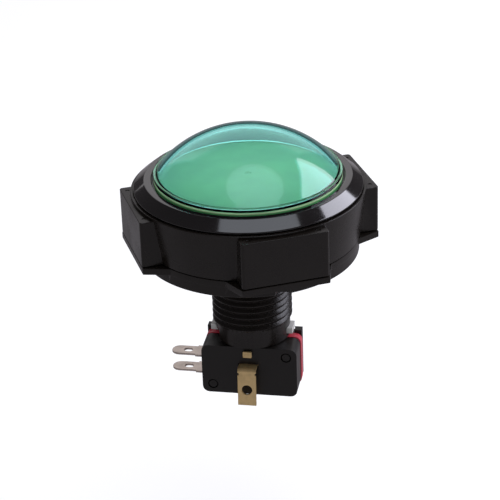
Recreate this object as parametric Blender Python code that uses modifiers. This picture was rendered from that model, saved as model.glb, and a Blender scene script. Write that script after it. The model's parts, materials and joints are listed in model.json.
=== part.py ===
"""Illuminated dome push button for a quiz table, fitted in one round panel hole.

The clear dome and its diffuser ride on a slider, which a spring holds up against the bezel. The
slider's leg reaches down through the threaded neck to a snap-action switch. Lamp and switch sit on
a holder that locks into the neck's lower end with a bayonet. The origin is on the axis, at the
seat that rests on the panel. The four lugs face along X and Y.
"""
import math

import bmesh
import bpy
from mathutils import Matrix, Vector

MM = 0.001

# Clearances
SEAT = 0.3 * MM               # between pieces that rest on each other
SLIDE = 0.4 * MM              # round a piece that slides
BUTTON_GAP = 0.7 * MM         # round the button in the bezel

# Button
TRAVEL = 3.0 * MM
RIM_RADIUS = 27.2 * MM
RIM_HEIGHT = 1.15 * MM
DOME_SHOULDER = 0.7 * MM      # step from the rim in to the dome
DOME_HEIGHT = 12.0 * MM       # above the rim
LENS_WALL = 2.0 * MM
DIFFUSER_THICKNESS = 1.45 * MM
SLIDER_LIP = 1.3 * MM         # reach of the slider's flange under the bezel
SLIDER_FLANGE = 1.6 * MM
SLIDER_DRUM_WALL = 1.5 * MM
SLIDER_DRUM_HEIGHT = 1.9 * MM
STEM_WALL = 1.5 * MM
STEM_LENGTH = 16.0 * MM       # below the seat
STEM_ROOT = 1.0 * MM          # cone between stem and flange
KEY_WIDTH = 2.4 * MM
KEY_DEPTH = 0.9 * MM
KEY_TOP = 2.0 * MM            # both below the seat
KEY_BOTTOM = 14.0 * MM
LEG_ANGLE = math.radians(20)

# Bezel and housing
BEZEL_FACE = 2.0 * MM         # width of the flat ring round the button
BEZEL_CONE = 3.2 * MM         # width of the sloping face
BEZEL_CONE_HEIGHT = 2.62 * MM
BEZEL_EDGE = 0.45 * MM
BEZEL_SKIRT_WALL = 1.4 * MM
BEZEL_SKIRT = 6.9 * MM        # depth into the housing
HOUSING_TOP = 19.9 * MM
HOUSING_WALL = 2.6 * MM       # at the top
HOUSING_TAPER = 1.8 * MM      # smaller radius at the foot
HOUSING_STEP = 1.1 * MM       # ledge under the bezel's skirt
LUG_REACH = 1.3 * MM          # from the housing's top radius to a lug's flat
LUG_HALF_WIDTH = 12.66 * MM
LUG_DROP = 0.8 * MM           # lug top below the housing's top

# Base and neck
PARTING = 5.1 * MM
TAB_THICKNESS = 2.0 * MM
BASE_INSET = 0.2 * MM         # base radius inside the housing's foot
BASE_FLOOR = 1.8 * MM
BASE_LIP_WALL = 0.6 * MM
BASE_LIP_HEIGHT = 1.9 * MM
FLARE_ANGLE = math.radians(29)  # where a tab's flare meets the base, from the lug's middle
NECK_RADIUS = 11.9 * MM       # over the thread, for a 24 mm hole
THREAD_DEPTH = 0.7 * MM
THREAD_PITCH = 2.0 * MM
THREAD_LENGTH = 22.9 * MM
NECK_LENGTH = 28.0 * MM
NECK_WALL = 1.6 * MM
COLLAR_WALL = 1.4 * MM        # spring locator on the floor
COLLAR_HEIGHT = 1.2 * MM
SCREW_SHANK = 1.2 * MM
SCREW_HEAD = 2.0 * MM
SCREW_HEAD_HEIGHT = 1.3 * MM
SCREW_DEPTH = 8.0 * MM        # into the lug
HEAD_SINK = 1.1 * MM          # head's pocket in the tab
SCREW_INSET = 2.9 * MM        # screw axis in from the lug's flat
RECESS_WIDTH = 0.7 * MM
RECESS_REACH = 1.4 * MM
RECESS_DEPTH = 0.7 * MM

# Return spring
SPRING_WIRE = 0.55 * MM
SPRING_GAP = 0.4 * MM         # round the floor's collar
SPRING_TURNS = 6
SPRING_POINTS = 16            # for each turn

# Lamp holder, turned about the axis with the switch
HOLDER_TURN = math.radians(-26.5)
TWIST = math.radians(20)      # from locked to released
SOCKET_GAP = 0.5 * MM         # inside the stem
SOCKET_WALL = 1.6 * MM
SOCKET_TOP = 3.0 * MM
SOCKET_FLOOR = 3.1 * MM
EAR_REACH = 12.3 * MM
EAR_HALF_WIDTH = 2.4 * MM
EAR_HEIGHT = 1.8 * MM
EAR_LEDGE = 0.7 * MM          # neck wall left under an ear
EAR_PLAY = math.radians(3)
BULB_GAP = 0.6 * MM
BULB_WALL = 0.6 * MM
BULB_TOP = 18.0 * MM
LAMP_BASE_TOP = 1.2 * MM
LAMP_BASE_LENGTH = 11.2 * MM
LAMP_BASE_HALF_DEPTH = 2.3 * MM
LAMP_POST = 1.2 * MM
LAMP_POST_TOP = 9.0 * MM
CONTACT_THICKNESS = 0.5 * MM
CONTACT_WIDTH = 2.2 * MM
CONTACT_TAIL = 36.0 * MM      # below the seat
CONTACT_HOLE = 0.6 * MM
HOLDER_PLATE = 2.5 * MM
HOLDER_RISE = 0.9 * MM        # plate corners above the switch
HOLDER_FOOT = 1.3 * MM        # plate edge above the switch's lower face
HOLDER_SHELF = 1.7 * MM
PEG_RADIUS = 1.25 * MM

# Snap-action switch, in the holder's frame
CASE_WIDTH = 28.6 * MM
CASE_HEIGHT = 15.9 * MM
CASE_DEPTH = 7.5 * MM
CASE_CORNER = 2.0 * MM
CASE_WALL = 1.2 * MM
CASE_SHIFT = 0.3 * MM        # case middle beside the axis
CASE_FRONT = 10.0 * MM        # front face before the axis
COVER_DEPTH = 2.5 * MM
COVER_PROUD = 0.25 * MM
HOLE_SPACING = 22.2 * MM
HOLE_EDGE = 2.8 * MM
HOLE_RADIUS = 1.55 * MM
BOSS_WALL = 0.75 * MM
PLUNGER_X = 5.67 * MM
PLUNGER_Y = -5.5 * MM
PLUNGER_RADIUS = 1.2 * MM
PLUNGER_RISE = 1.6 * MM       # above the case at rest
PLUNGER_TRAVEL = 1.0 * MM
PLUNGER_COLLAR = 0.6 * MM
CONTACT_Y = -5.6 * MM         # middle of blade and terminals
TERMINAL_WIDTH = 4.75 * MM
TERMINAL_THICKNESS = 0.6 * MM
TERMINAL_REACH = 9.8 * MM
TERMINAL_INNER = 5.5 * MM     # inside the wall
TERMINAL_SHOULDER = 2.0 * MM
SHOULDER_WIDTH = 5.9 * MM
TERMINAL_HOLE = (2.6 * MM, 1.8 * MM)
TERMINAL_HOLE_AT = 4.8 * MM
NC_DROP = 4.7 * MM            # terminal middles under the case's top
NO_DROP = 10.2 * MM
BUTTON_RADIUS = 1.3 * MM      # contact buttons
BUTTON_AT = 3.5 * MM          # in from the wall
NC_BUTTON = 0.4 * MM
NO_BUTTON = 0.6 * MM
MOVING_BUTTON = 1.5 * MM
BLADE_THICKNESS = 0.3 * MM
BLADE_WIDTH = 4.0 * MM
PIVOT_AT = 0.9 * MM           # blade pivot in from the far wall
COM_WIDTH = 5.5 * MM
COM_DROP = 6.1 * MM
COM_REACH = 2.6 * MM
COM_BEND = 0.7 * MM
COM_NECK = 0.8 * MM           # upright length before the solder tab
COM_TAB = 10.2 * MM
COM_LEAN = 0.6 * MM
COM_HOLE = 1.6 * MM
COM_HOLE_UP = 5.1 * MM        # from the tab's end
COM_NOTCH = 0.45 * MM
RIVET_DROP = 2.0 * MM
RIVET_WIDTH = 2.65 * MM
RIVET_HEIGHT = 2.0 * MM
RIVET_HEAD = 0.7 * MM
RIVET_SHANK = 0.7 * MM

# Sizes that follow from the ones above
BEZEL_BORE = RIM_RADIUS + BUTTON_GAP
BEZEL_RADIUS = BEZEL_BORE + BEZEL_FACE + BEZEL_CONE
SLIDER_RADIUS = BEZEL_BORE + SLIDER_LIP
BEZEL_SKIRT_INNER = SLIDER_RADIUS + SLIDE
BEZEL_SKIRT_OUTER = BEZEL_SKIRT_INNER + BEZEL_SKIRT_WALL
HOUSING_POCKET = BEZEL_SKIRT_OUTER + SLIDE
HOUSING_BORE = HOUSING_POCKET - HOUSING_STEP
HOUSING_RADIUS = HOUSING_POCKET + HOUSING_WALL
HOUSING_FOOT = HOUSING_RADIUS - HOUSING_TAPER
BASE_RADIUS = HOUSING_FOOT - BASE_INSET
BASE_LIP_OUTER = HOUSING_BORE - SEAT
BASE_POCKET = BASE_LIP_OUTER - BASE_LIP_WALL
LUG_FLAT = HOUSING_RADIUS + LUG_REACH
BEZEL_UNDER = HOUSING_TOP + SEAT
BEZEL_TOP = BEZEL_UNDER + BEZEL_EDGE + BEZEL_CONE_HEIGHT
FLANGE_TOP = BEZEL_UNDER - SEAT
FLANGE_UNDER = FLANGE_TOP - SLIDER_FLANGE
DRUM_TOP = FLANGE_TOP + SLIDER_DRUM_HEIGHT
DIFFUSER_UNDER = DRUM_TOP + SEAT
DIFFUSER_TOP = DIFFUSER_UNDER + DIFFUSER_THICKNESS
LENS_UNDER = DIFFUSER_TOP + SEAT
RIM_TOP = LENS_UNDER + RIM_HEIGHT
DOME_TOP = RIM_TOP + DOME_HEIGHT
THREAD_ROOT = NECK_RADIUS - THREAD_DEPTH
NECK_BORE = THREAD_ROOT - NECK_WALL
STEM_OUTER = NECK_BORE - SLIDE
STEM_INNER = STEM_OUTER - STEM_WALL
SOCKET_OUTER = STEM_INNER - SOCKET_GAP
SOCKET_INNER = SOCKET_OUTER - SOCKET_WALL
BULB_RADIUS = SOCKET_INNER - BULB_GAP
SOCKET_UNDER = -NECK_LENGTH
SOCKET_SEAT = SOCKET_UNDER + SOCKET_FLOOR
SCREW_AT = LUG_FLAT - SCREW_INSET
TAB_UNDER = PARTING - TAB_THICKNESS
CASE_TOP = -NECK_LENGTH - SEAT
CASE_BOTTOM = CASE_TOP - CASE_HEIGHT
CASE_LEFT = CASE_SHIFT - CASE_WIDTH / 2
CASE_RIGHT = CASE_SHIFT + CASE_WIDTH / 2
CASE_BACK = -CASE_FRONT + CASE_DEPTH
COVER_FRONT = CASE_BACK + SEAT
COVER_BACK = COVER_FRONT + COVER_DEPTH
PLATE_FRONT = COVER_BACK + SEAT
PLATE_BACK = PLATE_FRONT + HOLDER_PLATE
NC_LEVEL = CASE_TOP - NC_DROP
NO_LEVEL = CASE_TOP - NO_DROP
BUTTON_X = CASE_LEFT + CASE_WALL + BUTTON_AT
PIVOT_X = CASE_RIGHT - CASE_WALL - PIVOT_AT
NC_BUTTON_UNDER = NC_LEVEL - TERMINAL_THICKNESS / 2 - SEAT - NC_BUTTON
NO_BUTTON_TOP = NO_LEVEL + TERMINAL_THICKNESS / 2 + SEAT + NO_BUTTON
MOVING_TOP = NC_BUTTON_UNDER - SEAT
BLADE_LEVEL = MOVING_TOP - MOVING_BUTTON / 2
CONTACT_STROKE = MOVING_TOP - MOVING_BUTTON - NO_BUTTON_TOP - SEAT
BLADE_SWING = CONTACT_STROKE / (PIVOT_X - BUTTON_X)
PLUNGER_TOP = CASE_TOP + PLUNGER_RISE
BLADE_DIP = BLADE_SWING * (PIVOT_X - PLUNGER_X)
PLUNGER_FOOT = BLADE_LEVEL + BLADE_THICKNESS / 2 + PLUNGER_TRAVEL - BLADE_DIP + SEAT / 3
LEG_FOOT = PLUNGER_TOP + TRAVEL - PLUNGER_TRAVEL + SEAT
LEG_AT = math.atan2(PLUNGER_Y, PLUNGER_X)


def reset_scene():
    """Remove the scene's objects and make the two collections."""
    for item in list(bpy.data.objects):
        bpy.data.objects.remove(item, do_unlink=True)
    made = []
    for title in ("quiz_buzzer", "cutters"):
        collection = bpy.data.collections.new(title)
        bpy.context.scene.collection.children.link(collection)
        made.append(collection)
    return made


PARTS, CUTTERS = reset_scene()


def finish(name, colour, roughness, metallic=0.0, alpha=1.0):
    """A Principled material of one finish."""
    material = bpy.data.materials.new(name)
    material.use_nodes = True
    shader = material.node_tree.nodes["Principled BSDF"]
    shader.inputs["Base Color"].default_value = (*colour, 1.0)
    shader.inputs["Roughness"].default_value = roughness
    shader.inputs["Metallic"].default_value = metallic
    shader.inputs["Alpha"].default_value = alpha
    return material


CLEAR_TURQUOISE = finish("clear_turquoise", (0.08, 0.45, 0.40), 0.05, alpha=0.45)
GREEN = finish("green_diffuser", (0.15, 0.50, 0.28), 0.35)
BLACK_GLOSS = finish("black_gloss", (0.012, 0.010, 0.010), 0.12)
BLACK_SATIN = finish("black_satin", (0.013, 0.011, 0.010), 0.35)
WHITE = finish("white_plastic", (0.75, 0.74, 0.70), 0.40)
RED = finish("red_plastic", (0.55, 0.03, 0.05), 0.30)
SPRING_STEEL = finish("spring_steel", (0.55, 0.55, 0.56), 0.30, 1.0)
SCREW_STEEL = finish("screw_steel", (0.50, 0.50, 0.50), 0.35, 1.0)
BRASS = finish("brass", (0.60, 0.40, 0.14), 0.25, 1.0)
SILVER = finish("silver_plate", (0.72, 0.66, 0.60), 0.28, 1.0)
GLASS = finish("lamp_glass", (0.85, 0.88, 0.86), 0.02, alpha=0.30)


def add_object(name, mesh, material=None, parent=None):
    """Link a mesh as a part, or as a cutter when it has no material."""
    item = bpy.data.objects.new(name, mesh)
    if material is None:
        CUTTERS.objects.link(item)
        item.hide_render = True
        item.display_type = "WIRE"
    else:
        PARTS.objects.link(item)
        mesh.materials.append(material)
    item.parent = parent
    return item


def axis_empty(name, turn=0.0):
    """An empty on the main axis that carries a group of pieces."""
    empty = bpy.data.objects.new(name, None)
    PARTS.objects.link(empty)
    empty.rotation_euler = (0, 0, turn)
    return empty


def turned(name, profile, material, ring=True, segments=48, parent=None):
    """A profile of (radius, height) points turned round the axis."""
    mesh = bpy.data.meshes.new(name)
    last = len(profile) - 1
    edges = [(i, i + 1) for i in range(last)]
    if ring:
        edges.append((last, 0))
    mesh.from_pydata([(radius, 0, height) for radius, height in profile], edges, [])
    item = add_object(name, mesh, material, parent)
    screw = item.modifiers.new("turn", "SCREW")
    screw.steps = screw.render_steps = segments
    screw.use_merge_vertices = True
    screw.merge_threshold = 0.00001
    return item


def block(name, low, high, material=None, parent=None):
    """A box between two corners."""
    low, high = Vector(low), Vector(high)
    mesh = bpy.data.meshes.new(name)
    shape = bmesh.new()
    size = high - low
    place = Matrix.Translation((low + high) / 2) @ Matrix.Diagonal((*size, 1))
    bmesh.ops.create_cube(shape, size=1, matrix=place)
    shape.to_mesh(mesh)
    shape.free()
    return add_object(name, mesh, material, parent)


def rod(name, start, end, radius, material=None, parent=None, segments=24):
    """A round bar from one point to another."""
    start, end = Vector(start), Vector(end)
    along = end - start
    turn = along.to_track_quat("Z", "Y").to_matrix().to_4x4()
    mesh = bpy.data.meshes.new(name)
    shape = bmesh.new()
    bmesh.ops.create_cone(shape, cap_ends=True, segments=segments, radius1=radius, radius2=radius,
                          depth=along.length, matrix=Matrix.Translation((start + end) / 2) @ turn)
    shape.to_mesh(mesh)
    shape.free()
    return add_object(name, mesh, material, parent)


def curve_to_piece(name, curve, material, parent, place=Matrix()):
    """The closed mesh of a curve, which is then removed."""
    source = bpy.data.objects.new(name + "_curve", curve)
    bpy.context.scene.collection.objects.link(source)
    source.matrix_world = place
    bpy.context.view_layer.update()
    evaluated = source.evaluated_get(bpy.context.evaluated_depsgraph_get())
    mesh = bpy.data.meshes.new_from_object(evaluated)
    mesh.name = name
    mesh.transform(source.matrix_world)
    shape = bmesh.new()
    shape.from_mesh(mesh)
    bmesh.ops.remove_doubles(shape, verts=shape.verts, dist=0.000001)
    bmesh.ops.recalc_face_normals(shape, faces=shape.faces)
    shape.to_mesh(mesh)
    shape.free()
    mesh.materials.clear()
    bpy.data.objects.remove(source, do_unlink=True)
    return add_object(name, mesh, material, parent)


def plate(name, outlines, low, high, material=None, parent=None, plane=Matrix()):
    """A flat piece: closed outlines, the first outside and the rest holes, from low to high."""
    curve = bpy.data.curves.new(name, "CURVE")
    curve.dimensions = "2D"
    curve.fill_mode = "BOTH"
    curve.extrude = (high - low) / 2
    for outline in outlines:
        spline = curve.splines.new("POLY")
        spline.points.add(len(outline) - 1)
        for point, (x, y) in zip(spline.points, outline):
            point.co = (x, y, 0, 1)
        spline.use_cyclic_u = True
    lift = Matrix.Translation((0, 0, (low + high) / 2))
    return curve_to_piece(name, curve, material, parent, plane @ lift)


# Outlines drawn in X and Z that grow along Y, and in Y and Z that grow along X
ALONG_Y = Matrix(((1, 0, 0, 0), (0, 0, 1, 0), (0, 1, 0, 0), (0, 0, 0, 1)))
ALONG_X = Matrix(((0, 0, 1, 0), (1, 0, 0, 0), (0, 1, 0, 0), (0, 0, 0, 1)))


def arc(radius, start, end, steps, centre=(0.0, 0.0)):
    """Points on an arc, both ends included."""
    points = []
    for i in range(steps + 1):
        angle = start + (end - start) * i / steps
        points.append((centre[0] + radius * math.cos(angle), centre[1] + radius * math.sin(angle)))
    return points


def sector(name, inner, outer, start, end, low, high, material=None, parent=None, steps=8):
    """A piece of a ring between two angles."""
    outline = arc(outer, start, end, steps) + arc(inner, end, start, steps)
    return plate(name, [outline], low, high, material, parent)


def rounded_rectangle(left, right, bottom, top, corner, steps=4):
    """A rectangle with round corners."""
    quarter = math.pi / 2
    centres = ((right - corner, top - corner), (left + corner, top - corner),
               (left + corner, bottom + corner), (right - corner, bottom + corner))
    points = []
    for i, centre in enumerate(centres):
        points += arc(corner, i * quarter, (i + 1) * quarter, steps, centre)
    return points


def combine(item, tool, operation="DIFFERENCE"):
    """Cut a tool out of a piece, or join it on."""
    if tool.name not in CUTTERS.objects:
        raise ValueError(tool.name + " is not a cutter")
    boolean = item.modifiers.new(tool.name, "BOOLEAN")
    boolean.operation = operation
    boolean.solver = "EXACT"
    boolean.object = tool


def dome_arc(radius, centre, from_radius, steps):
    """Points of a spherical cap from its edge to the axis."""
    start = math.asin(min(1.0, from_radius / radius))
    points = []
    for i in range(steps + 1):
        angle = start * (1 - i / steps)
        points.append((radius * math.sin(angle), centre + radius * math.cos(angle)))
    return points


def make_lens(parent):
    """The clear dome with its rim."""
    edge = RIM_RADIUS - DOME_SHOULDER
    sphere = (edge ** 2 + DOME_HEIGHT ** 2) / (2 * DOME_HEIGHT)
    centre = DOME_TOP - sphere
    inner = sphere - LENS_WALL
    inner_edge = math.sqrt(inner ** 2 - (LENS_UNDER - centre) ** 2)
    outside = dome_arc(sphere, centre, edge, 8)[::-1]
    inside = dome_arc(inner, centre, inner_edge, 6)
    profile = outside + [(RIM_RADIUS, RIM_TOP), (RIM_RADIUS, LENS_UNDER)] + inside
    return turned("dome_lens", profile, CLEAR_TURQUOISE, ring=False, parent=parent)


def make_diffuser(parent):
    """The flat green disc under the lens."""
    profile = [(0, DIFFUSER_TOP), (RIM_RADIUS, DIFFUSER_TOP), (RIM_RADIUS, DIFFUSER_UNDER), (0, DIFFUSER_UNDER)]
    return turned("diffuser_plate", profile, GREEN, ring=False, parent=parent)


def make_slider(parent):
    """The moving body: flange, light well, hollow stem, two keys and the leg."""
    well = RIM_RADIUS - SLIDER_DRUM_WALL
    well_floor = FLANGE_TOP + SEAT / 3
    profile = [(STEM_INNER, well_floor), (well, well_floor), (well, DRUM_TOP), (RIM_RADIUS - SEAT, DRUM_TOP),
               (RIM_RADIUS - SEAT, FLANGE_TOP), (SLIDER_RADIUS, FLANGE_TOP), (SLIDER_RADIUS, FLANGE_UNDER),
               (STEM_OUTER + STEM_ROOT, FLANGE_UNDER), (STEM_OUTER, FLANGE_UNDER - STEM_ROOT),
               (STEM_OUTER, -STEM_LENGTH), (STEM_INNER, -STEM_LENGTH)]
    item = turned("slider", profile, WHITE, parent=parent)
    middle = (STEM_INNER + STEM_OUTER) / 2
    for side, label in ((1, "right"), (-1, "left")):
        inner, outer = sorted((side * middle, side * (STEM_OUTER + KEY_DEPTH)))
        key = block("slider_key_" + label, (inner, -KEY_WIDTH / 2, -KEY_BOTTOM), (outer, KEY_WIDTH / 2, -KEY_TOP))
        combine(item, key, "UNION")
    turn = HOLDER_TURN + LEG_AT
    leg = sector("slider_leg", STEM_INNER + SEAT / 3, STEM_OUTER - SEAT / 3, turn - LEG_ANGLE / 2,
                 turn + LEG_ANGLE / 2, LEG_FOOT, -STEM_LENGTH + STEM_WALL, steps=4)
    combine(item, leg, "UNION")
    return item


def make_bezel():
    """The glossy ring that holds the button in, with a skirt inside the housing."""
    edge_top = BEZEL_UNDER + BEZEL_EDGE
    skirt_foot = BEZEL_UNDER - BEZEL_SKIRT
    profile = [(BEZEL_BORE, BEZEL_TOP), (BEZEL_BORE + BEZEL_FACE, BEZEL_TOP), (BEZEL_RADIUS, edge_top),
               (BEZEL_RADIUS, BEZEL_UNDER), (BEZEL_SKIRT_OUTER, BEZEL_UNDER), (BEZEL_SKIRT_OUTER, skirt_foot),
               (BEZEL_SKIRT_INNER, skirt_foot), (BEZEL_SKIRT_INNER, BEZEL_UNDER), (BEZEL_BORE, BEZEL_UNDER)]
    return turned("bezel_ring", profile, BLACK_GLOSS)


def make_housing():
    """The tapered drum with four lugs, bored for the bezel's skirt and the slider."""
    foot = PARTING + SEAT
    profile = [(0, HOUSING_TOP), (HOUSING_RADIUS, HOUSING_TOP), (HOUSING_FOOT, foot), (0, foot)]
    item = turned("housing_ring", profile, BLACK_SATIN, ring=False)
    lug_top = HOUSING_TOP - LUG_DROP
    bar_x = block("lug_bar_x", (-LUG_FLAT, -LUG_HALF_WIDTH, foot), (LUG_FLAT, LUG_HALF_WIDTH, lug_top))
    bar_y = block("lug_bar_y", (-LUG_HALF_WIDTH, -LUG_FLAT, foot), (LUG_HALF_WIDTH, LUG_FLAT, lug_top))
    combine(item, bar_x, "UNION")
    combine(item, bar_y, "UNION")
    over = HOUSING_TOP + HOUSING_WALL
    under = foot - HOUSING_WALL
    ledge = BEZEL_UNDER - BEZEL_SKIRT - SEAT
    core = turned("housing_core", [(0, over), (HOUSING_POCKET, over), (HOUSING_POCKET, ledge),
                                   (HOUSING_BORE, ledge), (HOUSING_BORE, under), (0, under)], None, ring=False)
    combine(item, core)
    for number, spot in enumerate(screw_places(), 1):
        hole = rod(f"pilot_hole_{number}", (*spot, under), (*spot, PARTING + SCREW_DEPTH + SEAT),
                   SCREW_SHANK + SEAT)
        combine(item, hole)
    return item


def screw_places():
    """The four screw axes, one in each lug."""
    return [(SCREW_AT * math.cos(i * math.pi / 2), SCREW_AT * math.sin(i * math.pi / 2)) for i in range(4)]


def tab_outline():
    """The base's plan: four tabs under the lugs, each flared in to the round base."""
    corner = math.hypot(LUG_FLAT, LUG_HALF_WIDTH)
    half = math.atan2(LUG_HALF_WIDTH, LUG_FLAT)
    points = []
    for i in range(4):
        middle = i * math.pi / 2
        points += arc(corner, middle - half, middle + half, 1)
        points += arc(BASE_RADIUS, middle + FLARE_ANGLE, middle + math.pi / 2 - FLARE_ANGLE, 6)
    return points


def trim_tabs(item, blank):
    """Cut the round tab layer down to the tabs' outline."""
    around = arc(blank + 2 * HOUSING_WALL, 0, 2 * math.pi * 23 / 24, 23)
    trim = plate("tab_trim", [around, tab_outline()], TAB_UNDER - SEAT, PARTING + SEAT)
    combine(item, trim)


def thread_profile():
    """The neck's outside, from the seat down: ridges, then a smooth end."""
    ridges = int(THREAD_LENGTH / THREAD_PITCH)
    start = THREAD_LENGTH - ridges * THREAD_PITCH
    points = [(THREAD_ROOT, -start)]
    for i in range(ridges):
        low = start + i * THREAD_PITCH
        points.append((NECK_RADIUS, -low - THREAD_PITCH / 2))
        points.append((THREAD_ROOT, -low - THREAD_PITCH))
    points.append((THREAD_ROOT, -NECK_LENGTH))
    return points


def make_base(holder):
    """The base moulding: cup, lug tabs and threaded neck with two bayonet slots."""
    collar = NECK_BORE + COLLAR_WALL
    collar_top = BASE_FLOOR + COLLAR_HEIGHT
    lip_top = PARTING + BASE_LIP_HEIGHT
    blank = math.hypot(LUG_FLAT, LUG_HALF_WIDTH) + HOUSING_WALL
    seat_radius = BASE_RADIUS - SEAT / 2
    relief = NECK_RADIUS + SLIDE
    profile = [(BASE_POCKET, lip_top), (BASE_LIP_OUTER, lip_top), (BASE_LIP_OUTER, PARTING),
               (blank, PARTING), (blank, TAB_UNDER), (seat_radius, TAB_UNDER), (seat_radius, 0), (relief, 0),
               (relief, SEAT), (THREAD_ROOT, SEAT)]
    profile += thread_profile()
    profile += [(NECK_BORE, -NECK_LENGTH), (NECK_BORE, collar_top), (collar, collar_top),
                (collar, BASE_FLOOR), (BASE_POCKET, BASE_FLOOR)]
    item = turned("base_body", profile, BLACK_SATIN, segments=40)
    trim_tabs(item, blank)
    shank, head = SCREW_SHANK + SEAT, SCREW_HEAD + SLIDE
    over = PARTING + SEAT
    step = TAB_UNDER + HEAD_SINK
    for number, (x, y) in enumerate(screw_places(), 1):
        hole = turned(f"screw_hole_{number}", [(0, over), (shank, over), (shank, step), (head, step),
                                               (head, -SEAT), (0, -SEAT)], None, ring=False, segments=20)
        hole.location = (x, y, 0)
        combine(item, hole)
    cut_keyways(item)
    cut_bayonet(item, holder)
    return item


def cut_keyways(item):
    """Two grooves in the bore for the slider's keys, open at the top."""
    half = KEY_WIDTH / 2 + SEAT
    depth = STEM_OUTER + KEY_DEPTH + SEAT
    foot = -(KEY_BOTTOM + TRAVEL + SLIDE)
    top = BASE_FLOOR + COLLAR_HEIGHT + SEAT
    bar = block("keyways", (-depth, -half, foot), (depth, half, top))
    combine(item, bar)


def ear_half_angle():
    """Half the angle that an ear takes in the neck's wall."""
    return math.asin(EAR_HALF_WIDTH / NECK_BORE)


def cut_bayonet(item, holder):
    """For each ear a slot along the wall, and an entry from the neck's end."""
    half = ear_half_angle() + EAR_PLAY
    ledge = -NECK_LENGTH + EAR_LEDGE
    top = ledge + EAR_HEIGHT + 2 * SEAT
    inner, outer = NECK_BORE - SLIDE, NECK_RADIUS + SLIDE
    for number, side in enumerate((0, math.pi), 1):
        slot = sector(f"ear_slot_{number}", inner, outer, side - half, side + half + TWIST, ledge, top,
                      parent=holder)
        entry = sector(f"ear_entry_{number}", inner, outer, side - half + TWIST, side + half + TWIST,
                       -NECK_LENGTH - SLIDE, top, parent=holder)
        combine(item, slot)
        combine(item, entry)


def make_screws():
    """Four screws up through the tabs into the lugs."""
    head_top = TAB_UNDER + HEAD_SINK - SEAT
    head_foot = head_top - SCREW_HEAD_HEIGHT
    tip = PARTING + SCREW_DEPTH
    chamfer = SCREW_SHANK / 2
    profile = [(0, tip), (SCREW_SHANK - chamfer, tip), (SCREW_SHANK, tip - chamfer), (SCREW_SHANK, head_top),
               (SCREW_HEAD, head_top), (SCREW_HEAD, head_foot + chamfer), (SCREW_HEAD - chamfer, head_foot),
               (0, head_foot)]
    for number, (x, y) in enumerate(screw_places(), 1):
        item = turned(f"base_screw_{number}", profile, SCREW_STEEL, ring=False, segments=16)
        item.location = (x, y, 0)
        for label, size in (("a", (RECESS_REACH, RECESS_WIDTH / 2)), ("b", (RECESS_WIDTH / 2, RECESS_REACH))):
            cross = block(f"recess_{number}{label}", (-size[0], -size[1], head_foot - SEAT),
                          (*size, head_foot + RECESS_DEPTH), parent=item)
            combine(item, cross)


def make_spring():
    """The return spring, close-wound at both ends."""
    radius = NECK_BORE + COLLAR_WALL + SPRING_GAP + SPRING_WIRE
    low = BASE_FLOOR + SEAT + SPRING_WIRE
    high = FLANGE_UNDER - SEAT - SPRING_WIRE
    count = SPRING_TURNS * SPRING_POINTS
    pitch_end = 2 * SPRING_WIRE + SEAT / 3
    curve = bpy.data.curves.new("return_spring", "CURVE")
    curve.dimensions = "3D"
    curve.bevel_depth = SPRING_WIRE
    curve.bevel_resolution = 1
    curve.use_fill_caps = True
    spline = curve.splines.new("POLY")
    spline.points.add(count)
    free = (high - low - 2 * pitch_end) / (SPRING_TURNS - 2)
    for i, point in enumerate(spline.points):
        turn = i / SPRING_POINTS
        middle = min(max(turn - 1, 0), SPRING_TURNS - 2)
        closed = min(turn, 1) + max(turn - SPRING_TURNS + 1, 0)
        angle = 2 * math.pi * turn
        height = low + closed * pitch_end + middle * free
        point.co = (radius * math.cos(angle), radius * math.sin(angle), height, 1)
    return curve_to_piece("return_spring", curve, SPRING_STEEL, None)


def make_socket(holder):
    """The white lamp socket with its bayonet ears, notched for the slider's leg."""
    flange = NECK_BORE - SLIDE
    profile = [(0, SOCKET_SEAT), (SOCKET_INNER, SOCKET_SEAT), (SOCKET_INNER, SOCKET_TOP),
               (SOCKET_OUTER, SOCKET_TOP), (SOCKET_OUTER, SOCKET_SEAT), (flange, SOCKET_SEAT),
               (flange, SOCKET_UNDER), (0, SOCKET_UNDER)]
    item = turned("lamp_socket", profile, WHITE, ring=False, segments=48, parent=holder)
    low = SOCKET_UNDER + EAR_LEDGE + SEAT
    for number, side in enumerate((1, -1), 1):
        left, right = sorted((side * (flange - SOCKET_WALL), side * EAR_REACH))
        ear = block(f"socket_ear_{number}", (left, -EAR_HALF_WIDTH, low),
                    (right, EAR_HALF_WIDTH, low + EAR_HEIGHT), parent=holder)
        combine(item, ear, "UNION")
    play = LEG_ANGLE / 2 + 2 * EAR_PLAY
    notch = sector("leg_notch", STEM_INNER - SLIDE, EAR_REACH, LEG_AT - play - TWIST, LEG_AT + play,
                   SOCKET_UNDER - SEAT, SOCKET_SEAT + SEAT, parent=holder)
    combine(item, notch)
    well = rod("plunger_well", (PLUNGER_X, PLUNGER_Y, SOCKET_UNDER - SEAT),
               (PLUNGER_X, PLUNGER_Y, PLUNGER_TOP + SEAT), PLUNGER_RADIUS + SEAT, parent=holder)
    combine(item, well)
    for label, low_x, high_x in contact_spans():
        slot = block("socket_slot_" + label, (low_x - SEAT, -CONTACT_WIDTH / 2 - SEAT, SOCKET_UNDER - SEAT),
                     (high_x + SEAT, tail_back() + SEAT, SOCKET_SEAT + SEAT), parent=holder)
        combine(item, slot)
    return item


def contact_spans():
    """The two contact strips: label, low and high X in the holder's frame."""
    outer = SOCKET_INNER - 2 * SEAT + SEAT / 3
    inner = outer - CONTACT_THICKNESS
    return [("left", -outer, -inner), ("right", inner, outer)]


def tail_front():
    """Front edge of the contact tails, behind the holder's plate."""
    return PLATE_BACK + 2 * SLIDE


def tail_back():
    """Back edge of the contact tails."""
    return tail_front() + CONTACT_WIDTH


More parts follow.
